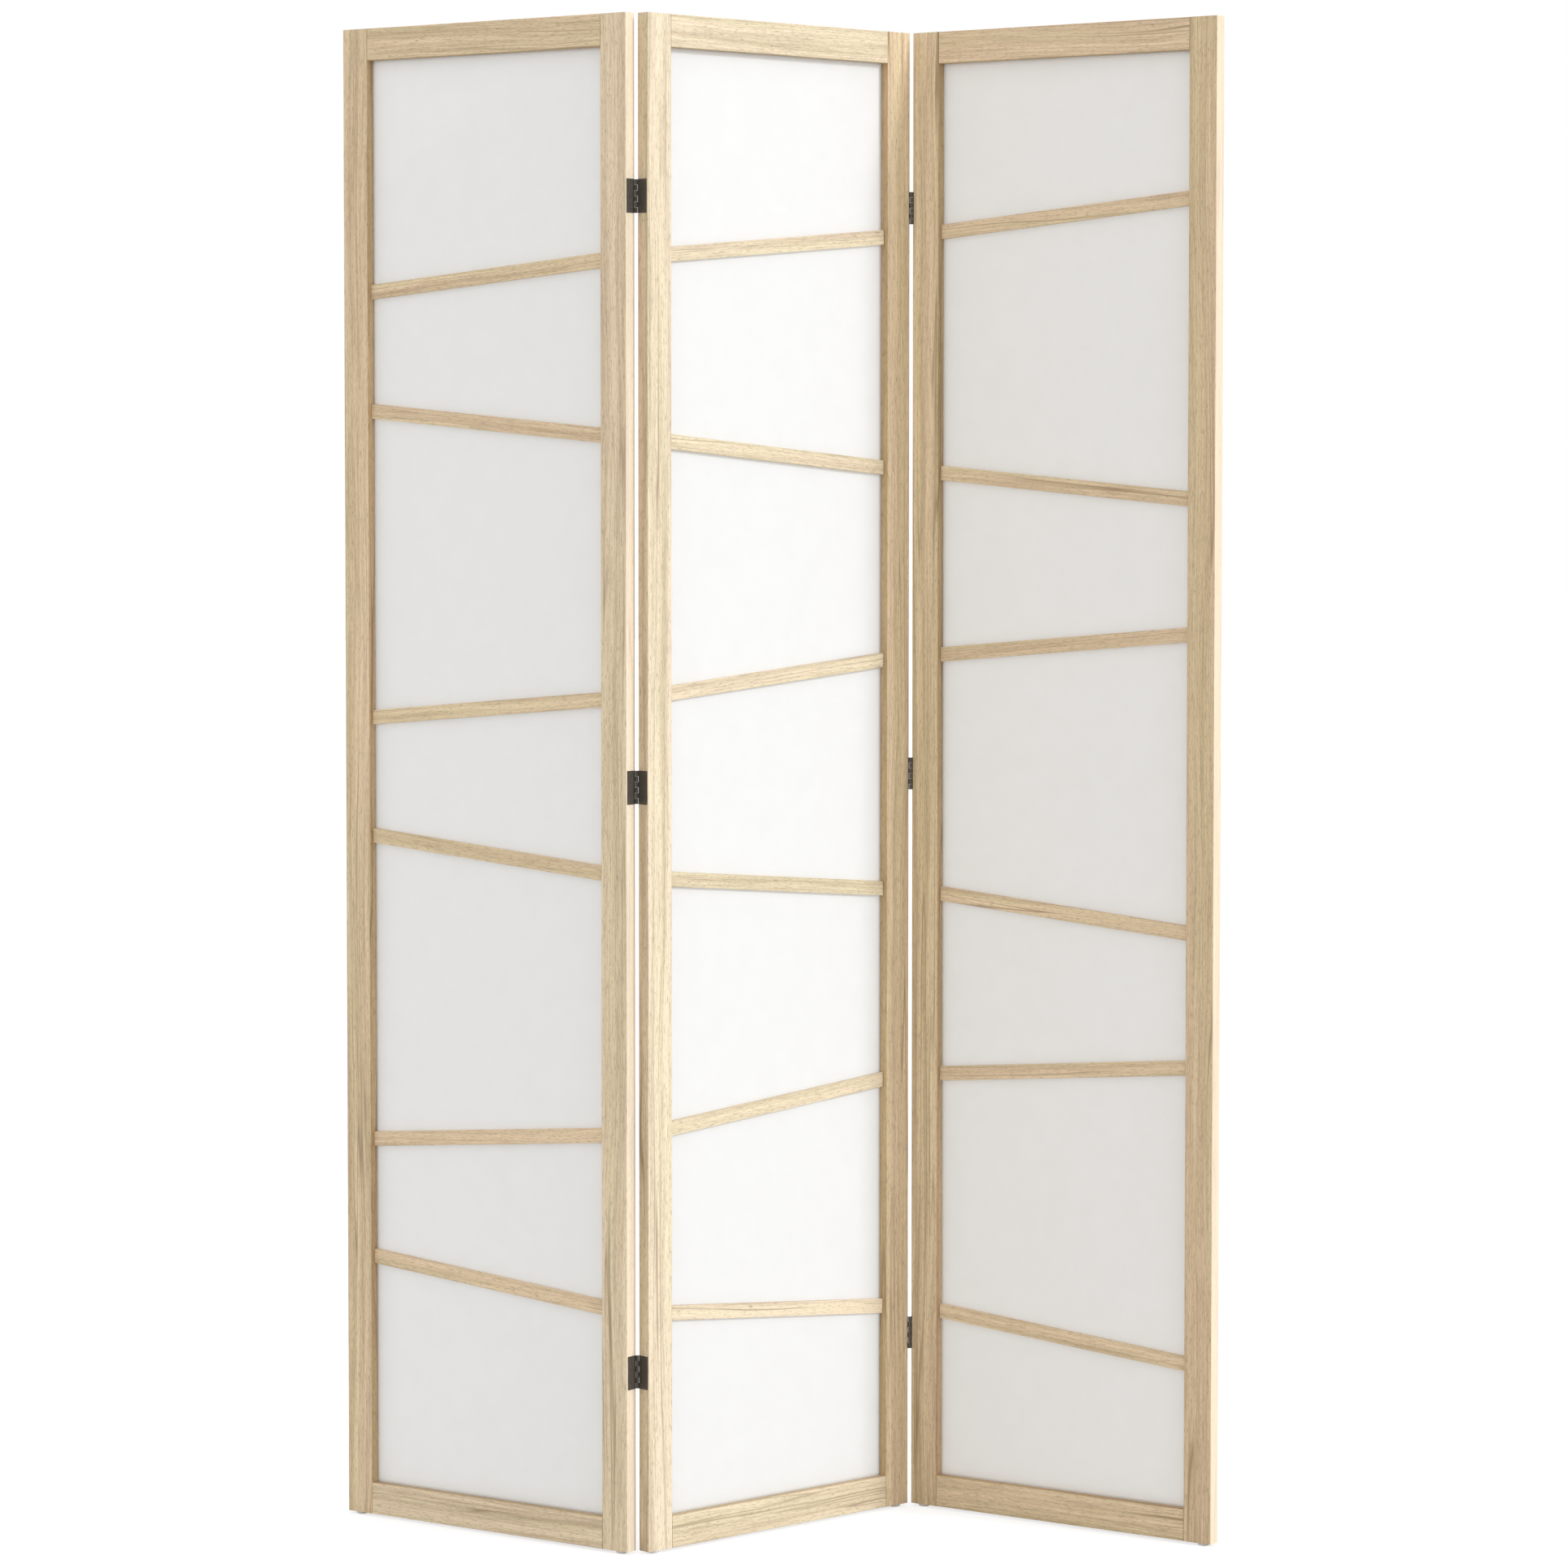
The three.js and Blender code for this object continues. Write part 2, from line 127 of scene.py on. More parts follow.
def node(tree, kind, inputs=None, **settings):
    """A node with its settings, and its inputs linked to sockets or set to values."""
    made = tree.nodes.new(kind)
    for name, value in settings.items():
        setattr(made, name, value)
    for name, value in (inputs or {}).items():
        if isinstance(value, bpy.types.NodeSocket):
            tree.links.new(value, made.inputs[name])
        else:
            made.inputs[name].default_value = value
    return made


def calc(tree, operation, first, second=0.0, clamp=False):
    """One step of arithmetic on sockets or numbers."""
    inputs = {0: first, 1: second}
    return node(tree, "ShaderNodeMath", inputs, operation=operation, use_clamp=clamp).outputs[0]


def span(tree, value, low, high, to_low=0.0, to_high=1.0):
    """Value moved from the range low to high onto another one, and held inside it."""
    source = {"From Min": low, "From Max": high}
    target = {"To Min": to_low, "To Max": to_high}
    inputs = {"Value": value, **source, **target}
    return node(tree, "ShaderNodeMapRange", inputs).outputs["Result"]


def blend_colour(tree, share, first, second, how="MIX"):
    """The first colour with a share of the second blended in."""
    inputs = {MIX_SHARE: share}
    for index, colour in ((MIX_FIRST, first), (MIX_SECOND, second)):
        inputs[index] = (*colour, 1) if isinstance(colour, tuple) else colour
    made = node(tree, "ShaderNodeMix", inputs, data_type="RGBA", blend_type=how)
    return made.outputs[MIX_RESULT]


def speckle(tree, place, scale, detail=2.0, roughness=0.5):
    """Noise whose size differs along the three axes: scale is in features a metre."""
    stretched = node(tree, "ShaderNodeVectorMath", {0: place, 1: scale}, operation="MULTIPLY")
    inputs = {"Vector": stretched.outputs[0], "Scale": 1, "Detail": detail, "Roughness": roughness}
    return node(tree, "ShaderNodeTexNoise", inputs).outputs["Fac"]


def new_material(name, **values):
    """A material with a bare shader, whose even values are set on its own sockets."""
    made = bpy.data.materials.new(name)
    made.use_nodes = True
    shader = made.node_tree.nodes["Principled BSDF"]
    for socket, value in values.items():
        shader.inputs[socket.replace("_", " ")].default_value = value
    return made, made.node_tree, shader


def bump(tree, shader, height, distance, strength=1.0):
    """Gives the shader a relief: a height between 0 and 1 stands for the distance."""
    inputs = {"Height": height, "Distance": distance, "Strength": strength}
    tree.links.new(node(tree, "ShaderNodeBump", inputs).outputs[0], shader.inputs["Normal"])


# ---- Wood -------------------------------------------------------------------------------------

WOOD_PALE = (0.93, 0.785, 0.56)
WOOD_DEEP = (0.43, 0.325, 0.20)
WOOD_PINK = (0.73, 0.55, 0.40)
WOOD_OLIVE = (0.655, 0.57, 0.34)
WOOD_LINE = (0.25, 0.165, 0.095)
# painted light: the pale colour that outer edges lit by the key are blended towards
LIT_EDGE_PALE = (0.96, 0.87, 0.74)

# Painted light and shade on outer edges: a share of the pale colour where the key lights the edge,
# or below 0 how much darker, as painted shade where the edge lies in shade
EDGE_PAINTED_LIGHT_SHADE = {
    "left_panel_right_stile": 0.45,
    "middle_panel_left_stile": -0.18,
    "right_panel_right_stile": 0.55,
}
EDGE_SHADE_WARMTH = 0.6  # how much more yellow the painted shade of a darker edge is, as a share of how much darker

# Painted light and shade of each panel's wood: the middle panel, which the key lights, paler and
# less yellow, and the side panels in shade deeper and more yellow; how deep it is, and how much
# more yellow than the palette
PANEL_PAINTED_LIGHT = {"left_panel": 0.03, "middle_panel": -0.09, "right_panel": 0.11}
PANEL_PAINTED_WARMTH = {"left_panel": 0.11, "middle_panel": -0.03, "right_panel": 0.11}

# Pieces that differ from the rest of their panel: how much deeper, and how much more yellow. The
# middle panel's right stile is deeper and more yellow as a painted shadow of the right panel.
PIECE_TONE_AND_SHADE = {
    "left_panel_right_stile": (-0.1, -0.07),
    "left_panel_bottom_rail": (-0.1, -0.07),
    "middle_panel_left_stile": (-0.09, -0.02),
    # painted shadow of the right panel
    "middle_panel_right_stile": (0.14, 0.14),
    "middle_panel_top_rail": (0.06, 0),
    "middle_panel_bottom_rail": (0.07, 0.02),
    "right_panel_right_stile": (0.12, 0.02),
    "right_panel_top_rail": (-0.06, 0),
}

# Along the grain, across it on the face, and into the wood, in features a metre. What follows
# the scale of a noise is its detail and roughness. A range is the part of it that a mark is from.
SLOW_WAVER = (2.6, 8, 8)
QUICK_WAVER = (15, 30, 30)
SLOW_REACH = 0.010  # how far the grain lines wander
RAIL_WAVER = 0.0032
STILE_WAVER = 0.0014

TINT_SCALE = (1.2, 70, 60)
TINT_RANGE = (0.38, 0.62)
TINT_SHARE = 0.3
BAND_NOISE = ((1.8, 100, 70), 2, 0.6)
BAND_RANGE = (0.3, 0.7)
BAND_SHARES = (0.2, 0.95)  # least and most that a piece's bands show
FIBRE_NOISE = ((6, 430, 340), 5, 0.74)
FIBRE_RANGE = (0.3, 0.7)
FIBRE_SHARE = 0.7
FIBRE_RELIEF = 0.5

GROWTH_SCALE = (1.2, 75, 60)
GROWTH_WIDTH = 0.022  # of a growth line, as a share of the noise it is drawn from
GROWTH_STRENGTH = 0.72
GROWTH_BREAKS = (4, 30, 30)
GROWTH_BREAK_RANGE = (0.44, 0.58)
FLECK_NOISE = ((26, 720, 560), 4, 0.78)
DARK_FLECK_RANGE = (0.52, 0.74)
DARK_FLECK_STRENGTHS = (0.35, 0.75)  # in the palest and the deepest band
LIGHT_FLECK_RANGE = (0.46, 0.3)
LIGHT_FLECK_SHARE = 0.2
PORE_SCALE = (130, 1500, 1300)
PORE_RANGE = (0.58, 0.68)
PORE_STRENGTH = 0.5

GREEN_WARMTH = 0.45  # what warmth takes from green, as a share of what it takes from blue
REBATE_PAINTED_SHADE = 0.24  # painted shade on the inner faces round the paper, where the recess is shaded
# how much more yellow the painted shade of the inner faces is
REBATE_SHADE_WARMTH = 0.14
OAK_ROUGHNESS = (0.48, 0.64)
OAK_SPECULAR = 0.35
OAK_RELIEF = 0.08 * MM
OAK_BUMP = 0.6
GRAIN_OFFSET = 9  # metres that a piece's grain may be moved along each axis
TONE_SPREAD = 0.04


def oak_group():
    """Straight-grained pale oak: its colour, roughness and relief at a place along the grain, with
    painted shade on the inner faces and painted light or shade on the outer edges.
    """
    tree = bpy.data.node_groups.new("oak", "ShaderNodeTree")
    tree.interface.new_socket("Place", in_out="INPUT", socket_type="NodeSocketVector")
    for name in ("Waver", "Tone", "Bands", "Outward", "Edge", "Warmth"):
        tree.interface.new_socket(name, in_out="INPUT", socket_type="NodeSocketFloat")
    for name, kind in (("Colour", "Color"), ("Roughness", "Float"), ("Relief", "Float")):
        tree.interface.new_socket(name, in_out="OUTPUT", socket_type=f"NodeSocket{kind}")
    given = node(tree, "NodeGroupInput").outputs
    place = given["Place"]

    slow = calc(tree, "SUBTRACT", speckle(tree, place, SLOW_WAVER, 1), 0.5)
    quick = calc(tree, "SUBTRACT", speckle(tree, place, QUICK_WAVER, 1), 0.5)
    waver = calc(tree, "MULTIPLY", slow, SLOW_REACH * 2)
    waver = calc(tree, "ADD", waver, calc(tree, "MULTIPLY", quick, given["Waver"]))
    sideways = node(tree, "ShaderNodeCombineXYZ", {"Y": waver}).outputs[0]
    grain = node(tree, "ShaderNodeVectorMath", {0: place, 1: sideways}, operation="ADD").outputs[0]

    tint = span(tree, speckle(tree, grain, TINT_SCALE, 1), *TINT_RANGE)
    bands = span(tree, speckle(tree, grain, *BAND_NOISE), *BAND_RANGE)
    fibres = span(tree, speckle(tree, grain, *FIBRE_NOISE), *FIBRE_RANGE)
    flecks = speckle(tree, grain, *FLECK_NOISE)
    dark = span(tree, flecks, *DARK_FLECK_RANGE)
    light = span(tree, flecks, *LIGHT_FLECK_RANGE)
    pores = span(tree, speckle(tree, grain, PORE_SCALE, 1), *PORE_RANGE)
    growth = calc(tree, "SUBTRACT", speckle(tree, grain, GROWTH_SCALE, 1), 0.5)
    growth = span(tree, calc(tree, "ABSOLUTE", growth), 0, GROWTH_WIDTH, GROWTH_STRENGTH, 0)
    shown = span(tree, speckle(tree, grain, GROWTH_BREAKS, 2), *GROWTH_BREAK_RANGE)
    growth = calc(tree, "MULTIPLY", growth, shown)

    tone = calc(tree, "MULTIPLY", calc(tree, "SUBTRACT", bands, 0.5), given["Bands"])
    tone = calc(tree, "ADD", tone, calc(tree, "MULTIPLY", fibres, FIBRE_SHARE))
    tone = calc(tree, "ADD", tone, given["Tone"], clamp=True)
    paler = calc(tree, "MULTIPLY", light, LIGHT_FLECK_SHARE)
    tone = calc(tree, "SUBTRACT", tone, paler, clamp=True)
    colour = blend_colour(tree, tone, WOOD_PALE, WOOD_DEEP)
    tinted = blend_colour(tree, tint, WOOD_PINK, WOOD_OLIVE)
    colour = blend_colour(tree, TINT_SHARE, colour, tinted)
    strength = span(tree, bands, 0, 1, *DARK_FLECK_STRENGTHS)
    marks = calc(tree, "MULTIPLY", dark, strength)
    marks = calc(tree, "MAXIMUM", marks, calc(tree, "MULTIPLY", pores, PORE_STRENGTH))
    marks = calc(tree, "MAXIMUM", marks, growth)
    colour = blend_colour(tree, marks, colour, WOOD_LINE)

    # painted light: outer edges that the key lights blended towards a pale colour
    edge = calc(tree, "MULTIPLY", calc(tree, "MAXIMUM", given["Outward"], 0), given["Edge"])
    colour = blend_colour(tree, calc(tree, "MAXIMUM", edge, 0), colour, LIT_EDGE_PALE)
    # painted shade: faces turned inward, round the paper, darker and more yellow
    inward = calc(tree, "MINIMUM", given["Outward"], 0)
    warmth = calc(tree, "SUBTRACT", given["Warmth"], calc(tree, "MULTIPLY", inward, REBATE_SHADE_WARMTH))
    # painted shade: outer edges in shade made darker and more yellow
    painted_edge_shade = calc(tree, "MINIMUM", edge, 0)
    warmth = calc(tree, "SUBTRACT", warmth, calc(tree, "MULTIPLY", painted_edge_shade, EDGE_SHADE_WARMTH))
    shade = calc(tree, "ADD", calc(tree, "MULTIPLY", inward, REBATE_PAINTED_SHADE), 1)
    shade = calc(tree, "ADD", shade, painted_edge_shade)
    # the colour scaled by the painted shade, and by the painted light and warmth of the panel
    painted_shade_tint = node(tree, "ShaderNodeCombineXYZ", {
        "X": shade,
        "Y": calc(tree, "SUBTRACT", shade, calc(tree, "MULTIPLY", warmth, GREEN_WARMTH)),
        "Z": calc(tree, "SUBTRACT", shade, warmth),
    }).outputs[0]
    inputs = {0: colour, 1: painted_shade_tint}
    colour = node(tree, "ShaderNodeVectorMath", inputs, operation="MULTIPLY").outputs[0]
    relief = calc(tree, "SUBTRACT", calc(tree, "MULTIPLY", fibres, FIBRE_RELIEF), marks)
    roughness = span(tree, fibres, 0, 1, *OAK_ROUGHNESS)
    node(tree, "NodeGroupOutput", {"Colour": colour, "Roughness": roughness, "Relief": relief})
    return tree


def wood(panel, name, along, depth, outward, waver):
    """Oak for one piece, with its own run of grain along it. Depth is square to the face, and
    outward points from the middle of the panel past a piece of the frame; it places the painted
    shade of the inner faces and the painted light or shade of the outer edges."""
    chance = random.Random(name)
    made, tree, shader = new_material(f"oak_{name}", Specular_IOR_Level=OAK_SPECULAR)
    turn = Matrix((along, depth.cross(along), depth)).to_euler()
    offset = [chance.uniform(-GRAIN_OFFSET, GRAIN_OFFSET) for _ in "XYZ"]
    place = node(tree, "ShaderNodeTexCoord").outputs["Object"]
    inputs = {"Vector": place, "Rotation": turn, "Location": offset}
    grain = node(tree, "ShaderNodeMapping", inputs).outputs[0]
    normal = node(tree, "ShaderNodeTexCoord").outputs["Normal"]
    facing = node(tree, "ShaderNodeVectorMath", {0: normal, 1: outward}, operation="DOT_PRODUCT")
    deeper, warmer = PIECE_TONE_AND_SHADE.get(name, (0, 0))
    inputs = {
        "Place": grain,
        "Outward": facing.outputs["Value"],
        "Waver": waver,
        "Tone": PANEL_PAINTED_LIGHT[panel] + deeper + chance.uniform(-TONE_SPREAD, TONE_SPREAD),
        "Bands": chance.uniform(*BAND_SHARES),
        # painted light or shade on the outer edges
        "Edge": EDGE_PAINTED_LIGHT_SHADE.get(name, 0),
        "Warmth": PANEL_PAINTED_WARMTH[panel] + warmer,
    }
    oak = node(tree, "ShaderNodeGroup", inputs, node_tree=oak_tree)
    tree.links.new(oak.outputs["Colour"], shader.inputs["Base Color"])
    tree.links.new(oak.outputs["Roughness"], shader.inputs["Roughness"])
    bump(tree, shader, oak.outputs["Relief"], OAK_RELIEF, OAK_BUMP)
    return made


# ---- Paper, metal and nylon -------------------------------------------------------------------

PAPER_COLOUR = (0.942, 0.938, 0.93)
PAPER_CLOUD = (0.922, 0.917, 0.905)
PAPER_FIBRE = (0.965, 0.963, 0.957)
PAPER_THROUGH = 0.5  # share of the light that goes on through a face of the sheet
# painted shade: the right panel's paper made darker and warmer than the same paper on the other
# panels
PAPER_PAINTED_SHADE = {
    "left_panel": (1, 1, 1),
    "middle_panel": (1, 1, 1),
    "right_panel": (0.975, 0.968, 0.958),
}
PAPER_ROUGHNESS = 0.62
PAPER_SPECULAR = 0.3
PAPER_RELIEF = 0.015 * MM
PAPER_BUMP = 0.5
CLOUD_NOISE = ((45, 45, 45), 5, 0.6)
CLOUD_SHARE = 0.5
STRAND_NOISE = (1, 0.4)
STRAND_LINES = ((38, 0.006), (61, 0.005))  # features a metre, and width as a share of the noise
STRAND_BREAKS = (90, 90, 90)
STRAND_BREAK_RANGE = (0.47, 0.6)
STRAND_SHARE = 0.6
TOOTH_NOISE = ((700, 700, 700), 3)


def strand_lines(tree, place, size, width):
    """Thin curling lines: where slow noise passes through its middle value."""
    slow = speckle(tree, place, (size, size, size), *STRAND_NOISE)
    off = calc(tree, "ABSOLUTE", calc(tree, "SUBTRACT", slow, 0.5))
    return span(tree, off, 0, width, 1, 0)


def paper(panel):
    """White fibrous paper under a film, which passes part of the light from behind."""
    name = f"{panel}_laminated_paper"
    values = {"Roughness": PAPER_ROUGHNESS, "Specular_IOR_Level": PAPER_SPECULAR}
    made, tree, shader = new_material(name, **values)
    place = node(tree, "ShaderNodeTexCoord").outputs["Object"]
    cloud = span(tree, speckle(tree, place, *CLOUD_NOISE), *NOISE_MIDDLE)
    cloud = calc(tree, "MULTIPLY", cloud, CLOUD_SHARE)
    colour = blend_colour(tree, cloud, PAPER_COLOUR, PAPER_CLOUD)
    coarse, fine = (strand_lines(tree, place, *line) for line in STRAND_LINES)
    broken = span(tree, speckle(tree, place, STRAND_BREAKS, 2), *STRAND_BREAK_RANGE)
    strands = calc(tree, "MULTIPLY", calc(tree, "MAXIMUM", coarse, fine), broken)
    shown = calc(tree, "MULTIPLY", strands, STRAND_SHARE)
    colour = blend_colour(tree, shown, colour, PAPER_FIBRE)
    # painted shade on the right panel's paper
    colour = blend_colour(tree, 1, colour, PAPER_PAINTED_SHADE[panel], "MULTIPLY")
    tree.links.new(colour, shader.inputs["Base Color"])
    relief = calc(tree, "ADD", strands, speckle(tree, place, *TOOTH_NOISE))
    bump(tree, shader, relief, PAPER_RELIEF, PAPER_BUMP)
    through = node(tree, "ShaderNodeBsdfTranslucent", {"Color": colour}).outputs[0]
    inputs = {0: PAPER_THROUGH, 1: shader.outputs[0], 2: through}
    sheet = node(tree, "ShaderNodeMixShader", inputs).outputs[0]
    tree.links.new(sheet, tree.nodes["Material Output"].inputs["Surface"])
    return made


STEEL_COLOUR = (0.085, 0.076, 0.06)
STEEL_BROWN = (0.108, 0.09, 0.067)
STEEL_METALLIC = 0.3
STEEL_ROUGHNESS = (0.38, 0.5)
STEEL_RELIEF = 0.02 * MM
STEEL_BUMP = 0.4
MOTTLE_NOISE = ((260, 260, 260), 4, 0.6)
STEEL_GRIT = (2600, 2600, 2600)


def steel():
    """Steel with a dark brown finish that is a little mottled and gritty."""
    values = {"Metallic": STEEL_METALLIC, "Specular_IOR_Level": 0.5}
    made, tree, shader = new_material("hinge_steel", **values)
    place = node(tree, "ShaderNodeTexCoord").outputs["Object"]
    mottle = span(tree, speckle(tree, place, *MOTTLE_NOISE), *NOISE_MIDDLE)
    colour = blend_colour(tree, mottle, STEEL_COLOUR, STEEL_BROWN)
    tree.links.new(colour, shader.inputs["Base Color"])
    grit = speckle(tree, place, STEEL_GRIT, 2)
    tree.links.new(span(tree, mottle, 0, 1, *STEEL_ROUGHNESS), shader.inputs["Roughness"])
    bump(tree, shader, grit, STEEL_RELIEF, STEEL_BUMP)
    return made


NYLON_COLOUR = (0.79, 0.79, 0.775)
NYLON_SHADE = (0.74, 0.74, 0.725)
NYLON_ROUGHNESS = (0.3, 0.4)
NYLON_RELIEF = 0.01 * MM
NYLON_BUMP = 0.4
FLOW_NOISE = ((180, 180, 90), 3)
NYLON_GRAIN = (3000, 3000, 3000)


def nylon():
    """White moulded nylon with slight flow marks."""
    made, tree, shader = new_material("white_nylon", Specular_IOR_Level=0.5)
    place = node(tree, "ShaderNodeTexCoord").outputs["Object"]
    flow = span(tree, speckle(tree, place, *FLOW_NOISE), *NOISE_MIDDLE)
    colour = blend_colour(tree, flow, NYLON_COLOUR, NYLON_SHADE)
    tree.links.new(colour, shader.inputs["Base Color"])
    tree.links.new(span(tree, flow, 0, 1, *NYLON_ROUGHNESS), shader.inputs["Roughness"])
    bump(tree, shader, speckle(tree, place, NYLON_GRAIN, 2), NYLON_RELIEF, NYLON_BUMP)
    return made


# ---- Panels -----------------------------------------------------------------------------------

def panel_axes(panel):
    """The panel's own X and Y directions, in the screen's frame."""
    turn = Matrix.Rotation(PANEL_TURNS[panel], 3, "Z")
    return turn @ Vector((1, 0, 0)), turn @ Vector((0, 1, 0))


def in_panel(panel, name):
    """A CAD node's points, turned so that the panel's X and Y lie along the first two axes."""
    back = Matrix.Rotation(-PANEL_TURNS[panel], 3, "Z")
    return [back @ v.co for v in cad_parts[name].data.vertices]


def ends_of(panel, name):
    """The two ends of a bar's centre line, in the turned frame."""
    points = in_panel(panel, name)
    found = []
    for pick in (min, max):
        edge = pick(p.x for p in points)
        near = [p.z for p in points if abs(p.x - edge) < MM]
        found.append(Vector((edge, (min(near) + max(near)) / 2)))
    return found


# ---- Finish of the CAD nodes ------------------------------------------------------------------

def smoothing():
    """A modifier's node group: smooth faces, with the edges over an angle kept sharp."""
    tree = bpy.data.node_groups.new("smooth_by_angle", "GeometryNodeTree")
    tree.is_modifier = True
    for way in ("INPUT", "OUTPUT"):
        tree.interface.new_socket("Geometry", in_out=way, socket_type="NodeSocketGeometry")
    begin = node(tree, "NodeGroupInput").outputs[0]
    angle = node(tree, "GeometryNodeInputMeshEdgeAngle").outputs["Unsigned Angle"]
    inputs = {"A": angle, "B": SMOOTH_ANGLE}
    flat = node(tree, "FunctionNodeCompare", inputs, operation="LESS_EQUAL").outputs[0]
    faces = node(tree, "GeometryNodeSetShadeSmooth", {"Geometry": begin}, domain="FACE").outputs[0]
    inputs = {"Geometry": faces, "Shade Smooth": flat}
    edges = node(tree, "GeometryNodeSetShadeSmooth", inputs, domain="EDGE").outputs[0]
    node(tree, "NodeGroupOutput", {"Geometry": edges})
    return tree


def soften(obj, width, segments=2):
    """Rounds the sharp edges by a width and shades the rest smooth."""
    weld = obj.modifiers.new("weld", "WELD")
    weld.merge_threshold = WELD_DISTANCE
    merge = obj.modifiers.new("flat_faces", "DECIMATE")
    merge.decimate_type = "DISSOLVE"
    merge.angle_limit = FLAT_ANGLE
    bevel = obj.modifiers.new("edges", "BEVEL")
    bevel.width = width
    bevel.segments = segments
    bevel.limit_method = "ANGLE"
    bevel.angle_limit = SMOOTH_ANGLE
    bevel.use_clamp_overlap = True
    obj.modifiers.new("smooth", "NODES").node_group = smooth_group
    normals = obj.modifiers.new("normals", "WEIGHTED_NORMAL")
    normals.keep_sharp = True


def dress(name, material):
    """Gives a CAD node a material, as its only one."""
    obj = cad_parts[name]
    obj.data.materials.clear()
    obj.data.materials.append(material)
    return obj


def dress_wood(panel):
    """Gives each wooden piece of a panel its own run of grain, the way that piece lies."""
    side, depth = panel_axes(panel)
    up = Vector((0, 0, 1))
    lies = (
        (up, -side, STILE_WAVER),
        (up, side, STILE_WAVER),
        (side, up, RAIL_WAVER),
        (side, -up, RAIL_WAVER),
    )
    for piece, (along, outward, waver) in zip(FRAME_PIECES, lies):
        name = f"{panel}_{piece}"
        soften(dress(name, wood(panel, name, along, depth, outward, waver)), WOOD_BEVEL)
    for bar in range(1, BAR_COUNT + 1):
        name = f"{panel}_bar_{bar}"
        start, end = ends_of(panel, name)
        run = end - start
        along = (side * run.x + up * run.y).normalized()
        nowhere = Vector((0, 0, 0))
        soften(dress(name, wood(panel, name, along, depth, nowhere, STILE_WAVER)), BAR_BEVEL)


# ---- Paper sheets -----------------------------------------------------------------------------

def new_piece(name, mesh_maker, material):
    """An object in the scene, whose mesh a function builds."""
    mesh = bpy.data.meshes.new(name)
    work = bmesh.new()
    mesh_maker(work)
    bmesh.ops.recalc_face_normals(work, faces=work.faces)
    work.to_mesh(mesh)
    work.free()
    mesh.materials.append(material)
    obj = bpy.data.objects.new(name, mesh)
    bpy.context.scene.collection.objects.link(obj)
    return obj


def rim_of(layer):
    """The points on the edge of a grid, in one round."""
    right = [line[-1] for line in layer[1:-1]]
    left = [line[0] for line in layer[-2:0:-1]]
    return [*layer[0], *right, *reversed(layer[-1]), *left]


def paper_sheet(panel, material):
    """A taut sheet that bellies a little between the bars that hold it, seated in the grooves."""
    name = f"{panel}_paper"
    points = in_panel(panel, name)
    low = Vector(map(min, *points))
    high = Vector(map(max, *points))
    bars = [ends_of(panel, f"{panel}_bar_{bar}") for bar in range(1, BAR_COUNT + 1)]
    turn = Matrix.Rotation(PANEL_TURNS[panel], 3, "Z")
    seed = Vector((0, 0, SHEET_SEED_STEP * list(PANEL_TURNS).index(panel)))

    def belly(x, z):
        free = min(x - low.x, high.x - x, z - low.z, high.z - z)
        for start, end in bars:
            share = (x - start.x) / (end.x - start.x)
            free = min(free, abs(z - start.y - share * (end.y - start.y)))
        share = min(1, free / SHEET_HOLD)
        wave = noise.noise(Vector((x / SHEET_WAVE_SIZE[0], 0, z / SHEET_WAVE_SIZE[1])) + seed)
        return SHEET_WAVE * share * share * (3 - 2 * share) * (0.5 + 0.5 * wave)

    def build(work):
        columns, rows = SHEET_CELLS
        layers = []
        for y in (low.y, high.y):
            layer = []
            for row in range(rows + 1):
                z = low.z + (high.z - low.z) * row / rows
                line = []
                for column in range(columns + 1):
                    x = low.x + (high.x - low.x) * column / columns
                    line.append(work.verts.new(turn @ Vector((x, y + belly(x, z), z))))
                layer.append(line)
            layers.append(layer)
        for layer in layers:
            for row in range(rows):
                for column in range(columns):
                    a, b = layer[row][column:column + 2]
                    d, c = layer[row + 1][column:column + 2]
                    work.faces.new((a, b, c, d))
        front, back = (rim_of(layer) for layer in layers)
        for i in range(len(front)):
            j = (i + 1) % len(front)
            work.faces.new((front[i], front[j], back[j], back[i]))
        for face in work.faces:
            face.smooth = True

    obj = new_piece(f"{name}_sheet", build, material)
    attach(obj, panel)
    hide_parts(name)


# ---- Screws -----------------------------------------------------------------------------------

def lathe(work, profile, segments):
    """Turns (radius, height) points round Z. The first and last point are on the axis."""
    start, *rings, end = profile
    first = work.verts.new((0, 0, start[1]))
    last = work.verts.new((0, 0, end[1]))
    made = []
    for radius, height in rings:
        ring = []
        for step in range(segments):
            angle = 2 * math.pi * step / segments
            x, y = radius * math.cos(angle), radius * math.sin(angle)
            ring.append(work.verts.new((x, y, height)))
        made.append(ring)
    for step in range(segments):
        after = (step + 1) % segments
        work.faces.new((first, made[0][step], made[0][after]))
        for upper, lower in zip(made, made[1:]):
            work.faces.new((upper[step], lower[step], lower[after], upper[after]))
        work.faces.new((last, made[-1][after], made[-1][step]))


def screw_body(work):
    """A countersunk head with a soft edge on a pointed shank, along -Z from the head's face."""
    depth = SCREW_HEAD_RADIUS - SCREW_SHANK_RADIUS
    corner = SCREW_RIM_SOFT * SCREW_RIM
    lathe(work, [
        (0, 0),
        (SCREW_HEAD_RADIUS - 2 * SCREW_RIM, 0),
        (SCREW_HEAD_RADIUS - corner, -corner),
        (SCREW_HEAD_RADIUS, -SCREW_RIM),
        (SCREW_HEAD_RADIUS, -2 * SCREW_RIM),
        (SCREW_SHANK_RADIUS, -depth),
        (SCREW_SHANK_RADIUS, -SCREW_LENGTH * SCREW_POINT),
        (0, -SCREW_LENGTH),
    ], SCREW_SEGMENTS)


